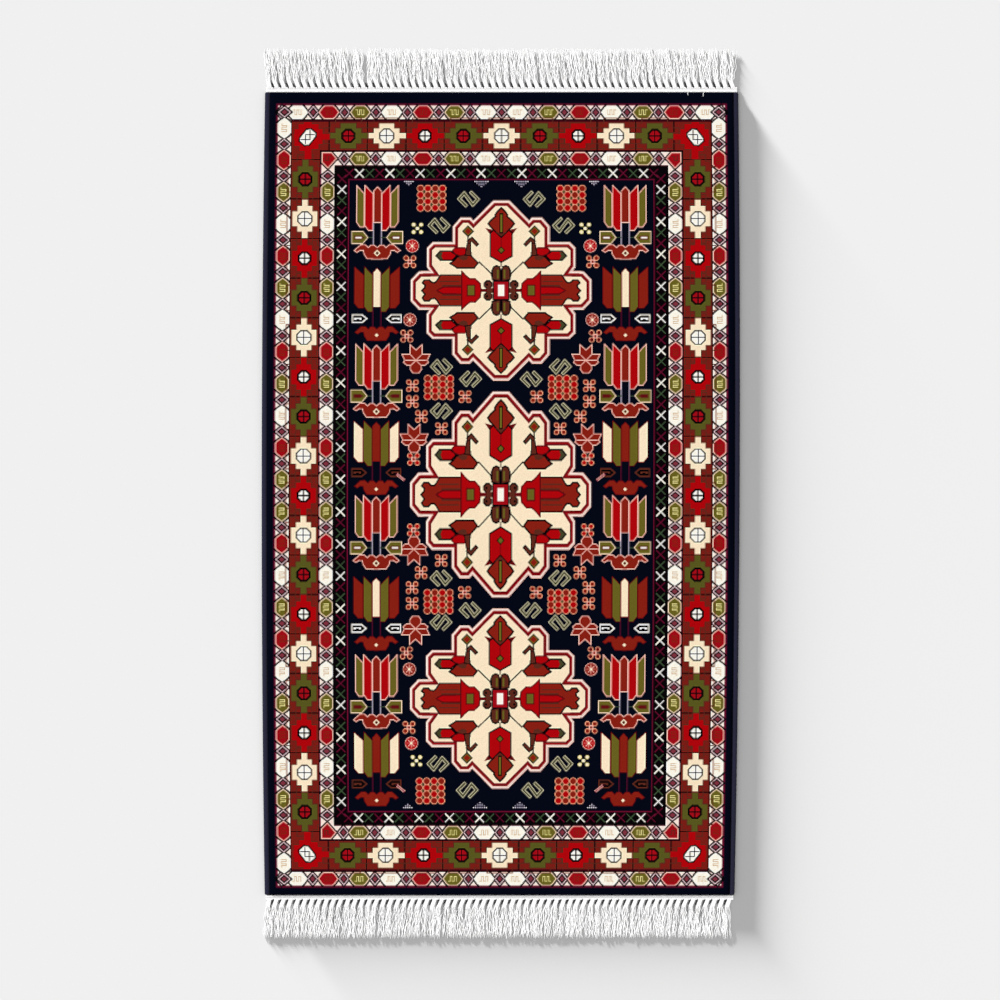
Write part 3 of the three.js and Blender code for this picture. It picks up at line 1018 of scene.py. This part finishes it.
def pile_piece(number, zones, colours, heights, material):
    """The tufts of one zone: a quad for each knot, and walls down to the ground."""
    name = ZONES[number]
    quads, owners = pile_quads(zones == number)
    used, quads = np.unique(quads, return_inverse=True)
    quads = quads.reshape(-1, 4)
    j, i = np.divmod(used % TOP_CORNERS, ROW_CORNERS)
    x = (i - COLUMNS / 2) * KNOT_WIDTH
    x = np.where((i == 0) | (i == COLUMNS), x + np.sign(x) * SIDE_REACH, x)
    y = PILE_END - j * KNOT_LENGTH
    z = np.where(used >= TOP_CORNERS, GROUND_TOP, heights.ravel()[used % TOP_CORNERS])
    piece = mesh_object(name, laid(x, y, z), quads, material)
    dye = piece.data.color_attributes.new("dye", "FLOAT_COLOR", "CORNER")
    rgba = np.ones((len(quads), 4, 4))
    rgba[:, :, :3] = colours.reshape(-1, 3)[owners][:, None]
    dye.data.foreach_set("color", rgba.ravel())
    bake = piece.data.uv_layers.new(name="OFBake")
    across = 0.002 + 0.996 * (i - i.min()) / np.ptp(i)
    along = 0.998 - 0.996 * (j - j.min()) / np.ptp(j)
    bake.data.foreach_set("uv", np.stack([across, along], 1)[quads.ravel()].ravel())
    return settle(piece, "rug", name)


def make_pile():
    zones = zone_chart()
    colours = knot_colours(draw_chart()) * DYE_GAIN
    heights = pile_heights()
    material = pile_material("cut_wool_pile")
    return [pile_piece(k, zones, colours, heights, material) for k in range(len(ZONES))]


# ---------- Ground
def ground_layer(node, material, pitch, ripple):
    """A layer of the ground weave, ribbed across its length on its underside."""
    low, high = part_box(node)
    count = int(round((high[1] - low[1]) / pitch * 2))
    y = np.linspace(low[1], high[1], count + 1)
    rib = np.where(np.arange(count + 1) % 2, ripple, 0.0)
    corners = []
    for x, z in ((low[0], low[2]), (high[0], low[2]), (high[0], high[2]), (low[0], high[2])):
        corners.append(laid(x, y, z + rib * (z == low[2])))
    points = np.stack(corners, 1).reshape(-1, 3)
    piece = mesh_object(node, points, tube_faces(count + 1, 4), material, smooth=False)
    return settle(piece, "rug", node)


def make_ground():
    back = woven_material("sized_back", JUTE, 3.4, 3.4, 0.25)
    weft = woven_material("jute_weft", JUTE, 1.7, 3.4, 0.2)
    warp = woven_material("cotton_warp", WARP_COTTON, 1.7, 5.0, 0.2)
    return [
        ground_layer("back_sizing", back, KNOT_LENGTH * 2, 0.18 * MM),
        ground_layer("ground_weft_back", weft, KNOT_LENGTH * 2, 0.1 * MM),
        ground_layer("ground_stuffer_warp", warp, KNOT_LENGTH * 8, 0.0),
        ground_layer("ground_weft_face", weft, KNOT_LENGTH * 2, 0.1 * MM),
    ]


# ---------- Sides and end tapes
def overcast_edge(side, sign, material):
    """The wrapped side edge: an oval roll, ridged by every turn of its yarn."""
    node = "overcast_edge_" + side
    low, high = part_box(node)
    centre = np.array([(low[0] + high[0]) / 2, (low[2] + high[2]) / 2])
    half = np.array([(high[0] - low[0]) / 2, (high[2] - low[2]) / 2])
    stations = int((high[1] - low[1]) / WRAP_PITCH) * 4
    y = np.linspace(low[1], high[1], stations + 1)[:, None]
    sides = 16
    turns = (np.arange(sides) * 2 * math.pi / sides)[None, :]
    lean = sign * WRAP_LEAN * np.cos(turns)
    phase = 2 * math.pi * (y + lean + 0.15 * MM * np.sin(y * 311)) / WRAP_PITCH
    swell = 0.965 + 0.035 * np.abs(np.cos(phase / 2)) ** 0.8
    ends = np.clip((high[1] - np.abs(y)) / (3 * MM), 0, 1)
    swell = swell * (0.78 + 0.22 * np.sqrt(ends))
    x = centre[0] + half[0] * swell * np.cos(turns)
    z = centre[1] + half[1] * swell * np.sin(turns)
    points = laid(x, y, z).reshape(-1, 3)
    piece = mesh_object(node, points, tube_faces(stations + 1, sides), material)
    return settle(piece, "rug", node)


def edge_cord(side, material):
    """The twisted cord inside the overcast edge."""
    node = "edge_cord_" + side
    low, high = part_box(node)
    y = np.linspace(low[1], high[1], 401)
    shell = Shell()
    shell.tube(laid((low[0] + high[0]) / 2, y, (low[2] + high[2]) / 2), (high[2] - low[2]) / 2, 8)
    return settle(shell.object(node, material), "rug", node)


def fringe_tape(end, sign, material):
    """The white strip folded over the cloth's end, finely ribbed along its length."""
    node = "fringe_tape_" + end
    low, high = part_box(node)
    outer = max(abs(low[1]), abs(high[1]))
    inner = min(abs(low[1]), abs(high[1]))
    radius = (high[2] - low[2]) / 2
    profile = [(inner, low[2]), (outer - radius, low[2])]
    for k in range(1, 8):
        angle = -math.pi / 2 + k * math.pi / 8
        profile.append((outer - radius + radius * math.cos(angle), radius + radius * math.sin(angle)))
    profile += [(outer - radius, high[2]), (inner + 1.5 * MM, high[2]), (inner, high[2])]
    profile = np.array(profile)
    count = 1000
    x = np.linspace(low[0], high[0], count + 1)[:, None]
    rib = (np.arange(count + 1) % 2)[:, None] * 0.12 * MM
    middle = np.array([(outer + inner) / 2, radius])
    pull = (middle - profile) / np.linalg.norm(middle - profile, axis=1)[:, None]
    y = sign * (profile[None, :, 0] + rib * pull[None, :, 0])
    z = profile[None, :, 1] + rib * pull[None, :, 1]
    points = laid(x, y, z).reshape(-1, 3)
    piece = mesh_object(node, points, tube_faces(count + 1, len(profile)), material)
    return settle(piece, "rug", node)


def fringe_stitch(end, sign, material):
    """The zigzag of thread that holds the tape, and the thread's loose ends on the pile."""
    node = "fringe_stitch_" + end
    low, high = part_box(node)
    inner, outer = sorted((abs(low[1]), abs(high[1])))
    count = int((high[0] - low[0]) / STITCH_PITCH)
    corners_x = np.linspace(low[0], high[0], count + 1)
    corners_y = sign * np.where(np.arange(count + 1) % 2, outer - THREAD, inner + THREAD)
    x = np.linspace(low[0], high[0], count * 6 + 1)
    y = np.interp(x, corners_x, corners_y)
    shell = Shell()
    shell.tube(laid(x, y, high[2] - THREAD * 0.8), THREAD, 6)
    for start, length, drift in LOOSE_ENDS[end]:
        t = np.linspace(0, 1, 12)
        strand_x = (start + drift * t + 0.5 * np.sin(t * 9)) * MM
        strand_y = sign * (inner + 1 * MM - length * MM * t)
        rise = np.array([high[2], PILE_TOP, PILE_TOP + 0.4 * MM, PILE_TOP + 0.2 * MM])
        strand_z = np.interp(t, [0, 0.12, 0.25, 1], rise)
        shell.tube(np.stack([strand_x, strand_y, strand_z], 1), 0.45 * MM, 5)
    return settle(shell.object(node, material), "rug", node)


# ---------- Fringes
def tassel(shell, centre_x, sign):
    """A tassel of loose twisted yarns, bound flat at its neck and tangled below it."""
    room = np.clip((centre_x + RUG_WIDTH / 2 - 4 * MM) / TASSEL_PITCH, 0.1, 1)
    lean = LEAN * room * rng.uniform(0.85, 1.15)
    drift = rng.normal(0, 0.9) * MM
    reach = np.linspace(0, 1, 23)
    outermost = (YARNS_PER_TASSEL - 1) / 2
    for k in range(YARNS_PER_TASSEL):
        layer = k % 2
        place = (k - outermost) / outermost
        tip = min(TASSEL_END + rng.normal(-0.6, 1.8) * MM, TASSEL_LIMIT)
        y = HEADING_Y + (tip - HEADING_Y) * reach
        out = np.clip((y - HEADING_Y - NECK) / (tip - HEADING_Y - NECK), 0, 1)
        tip_x = place * SKIRT_HALF * 1.15 + rng.normal(0, 2.7) * MM + drift
        sway = rng.uniform(0.7, 2.0) * np.sin(rng.uniform(0, 6.28) + out * rng.uniform(6, 15))
        curl = rng.uniform(0.15, 0.55) * np.sin(rng.uniform(0, 6.28) + out * rng.uniform(18, 32))
        slant = -lean * (np.clip((y - HEADING_Y) / NECK, 0, 1) + 0.5 * out)
        spread = out**0.45
        loose = np.minimum(out * 5, 1)
        x = place * NECK_HALF * (1 - spread) + tip_x * spread + slant + (sway + curl) * MM * loose
        lift = (0.68 + 1.05 * layer) * MM
        rest = rng.uniform(0.66, 1.85) * MM
        z = lift * (1 - out) + rest * out + 0.3 * MM * np.sin(out * rng.uniform(9, 20) + k) * loose
        radius = YARN * np.interp(out, [0, 0.12, 0.85, 1], [1.0, 0.92, 0.85, 0.35])
        shell.tube(np.stack([centre_x + x, sign * y, np.maximum(z, radius)], 1), radius, 5, turn=k)


def slot_shade_strand(shell, centre_x, sign):
    """Dark strands that hang over the heading yarn between two necks: painted shade, put in the slot
    between the necks where shade falls.
    """
    t = np.linspace(0, 1, 9)
    start = HEADING_Y - 0.2 * MM
    length = rng.uniform(8.5, 11.5) * MM
    x = centre_x + TASSEL_PITCH / 2 + 0.8 * MM - LEAN * 0.95 * t + rng.uniform(-0.5, 0.5) * MM
    lift = np.interp(t, [0, 0.12, 0.3, 1], [2.3, 1.9, 1.1, 0.6]) * MM
    radius = rng.uniform(1.15, 1.6) * MM * np.interp(t, [0, 0.3, 0.75, 1], [0.6, 1, 0.85, 0.25])
    shell.tube(np.stack([x, sign * (start + length * t), lift], 1), radius, 6, flat=0.45, kind=1)
    # Painted shade: a loose dark hair that runs on into the fringe, standing in for the shade between
    # its strands.
    if rng.uniform() < SHADE_HAIR_SHARE:
        t = np.linspace(0, 1, 15)
        reach = rng.uniform(18, 42) * MM
        sway = rng.uniform(0.5, 1.2) * MM * np.sin(rng.uniform(0, 6.28) + t * rng.uniform(7, 13)) * t
        hair_x = x[-1] - 0.11 * reach * t + sway
        hair_y = start + length - 2 * MM + reach * t
        hair = np.stack([hair_x, sign * hair_y, 1.0 * MM + 1.9 * MM * np.sin(np.pi * t) ** 0.5], 1)
        shell.tube(hair, 0.42 * MM * (1 - 0.6 * t), 5, kind=1)


def fringe_group(end, sign, number, materials):
    """Five tassels and the heading yarn that they hang from."""
    node = f"tassels_{end}_{number:02d}"
    low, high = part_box(node)
    shell = Shell()
    centre = (low[0] + high[0]) / 2
    x = np.linspace(low[0] - 0.3 * MM, high[0] + 0.3 * MM, 120)
    ripple = HEADING_RADIUS * (0.95 + 0.05 * np.sin(x / (0.4 * MM)))
    shell.tube(laid(x, sign * HEADING_Y, HEADING_HEIGHT), ripple, 10, flat=0.8)
    for k in range(TASSELS):
        middle = centre + (k - (TASSELS - 1) / 2) * TASSEL_PITCH
        middle = lie(middle, sign * HEADING_Y)
        tassel(shell, middle, sign)
        # Painted shade: a dark strand in the slot after each neck but the rug's last.
        if k < TASSELS - 1 or number < GROUPS:
            slot_shade_strand(shell, middle, sign)
    return settle(shell.object(node, materials), "fringe_" + end, node)


# ---------- Camera, floor and lights
def make_camera():
    data = bpy.data.cameras.new("camera")
    data.sensor_width = 36
    data.lens = 36 * (CAMERA_HEIGHT - PILE_TOP) / PICTURE_WIDTH
    data.clip_end = 50
    camera = bpy.data.objects.new("camera", data)
    camera.location = (*PICTURE_CENTRE, CAMERA_HEIGHT)
    scene.collection.objects.link(camera)
    scene.camera = camera


def make_floor():
    nodes = Nodes("plain_floor", roughness=1.0, sheen=0.0, specular=0.0)
    nodes.shader.inputs["Base Color"].default_value = (FLOOR, FLOOR, FLOOR, 1)
    points = [(x * FLOOR_HALF, y * FLOOR_HALF, 0) for x, y in ((-1, -1), (1, -1), (1, 1), (-1, 1))]
    floor = mesh_object("floor", points, [(0, 1, 2, 3)], nodes.material, smooth=False)
    return floor


def sun(name, heading, elevation, spread, share):
    """A distant light that gives a share of the daylight, from a heading in degrees from +X to +Y."""
    data = bpy.data.lights.new(name, "SUN")
    data.angle = math.radians(spread)
    data.energy = share * DAYLIGHT * math.pi / math.sin(math.radians(elevation))
    light = bpy.data.objects.new(name, data)
    flat = math.cos(math.radians(elevation))
    away = (
        flat * math.cos(math.radians(heading)),
        flat * math.sin(math.radians(heading)),
        math.sin(math.radians(elevation)),
    )
    light.rotation_euler = Vector(away).to_track_quat("Z", "Y").to_euler()
    scene.collection.objects.link(light)
    return light


def make_light(floor):
    """An even sky and two suns: a low one that only the floor sees, and a higher one for the rug."""
    world = bpy.data.worlds.new("sky")
    world.use_nodes = True
    sky = world.node_tree.nodes["Background"]
    sky.inputs["Color"].default_value = (1, 1, 1, 1)
    sky.inputs["Strength"].default_value = DAYLIGHT * (1 - SUN_SHARE)
    scene.world = world
    for name, place, state in (("floor_sun", FLOOR_SUN, "INCLUDE"), ("rug_sun", RUG_SUN, "EXCLUDE")):
        light = sun(name, *place, SUN_SHARE)
        group = bpy.data.collections.new(name + "_receivers")
        group.objects.link(floor)
        light.light_linking.receiver_collection = group
        group.collection_objects[0].light_linking.link_state = state
    scene.view_settings.view_transform = "Standard"


# ---------- Assembly
def make_rug():
    fringe = twisted_material("bleached_cotton_yarn", COTTON, 1, 2.2, 1.2, 0.12, 0.3)
    # Yarn of the dark strands that are painted shade between the tassels' necks.
    dark = twisted_material("painted_slot_shade_yarn", SLOT_SHADE_COLOURS, 1, 1.5, 1.2, 0.1)
    heading = twisted_material("bleached_cotton_tape", COTTON, 0, 1.6, 0.6, 0.1, 0.2)
    overcast = twisted_material("navy_wool_overcasting", OVERCAST, 1, WRAP_PITCH / MM, 0.4, 0.2)
    raw = twisted_material("raw_cotton_cord", RAW_COTTON, 1, 2.0, 1.5, 0.1)
    ground = make_ground()
    others = make_pile()
    for side, sign in (("right", 1), ("left", -1)):
        others.append(overcast_edge(side, sign, overcast))
        others.append(edge_cord(side, raw))
    for end, sign in (("far", 1), ("near", -1)):
        others.append(fringe_tape(end, sign, heading))
        others.append(fringe_stitch(end, sign, heading))
        others += [fringe_group(end, sign, number, [fringe, dark]) for number in range(1, GROUPS + 1)]


make_camera()
make_light(make_floor())
make_rug()
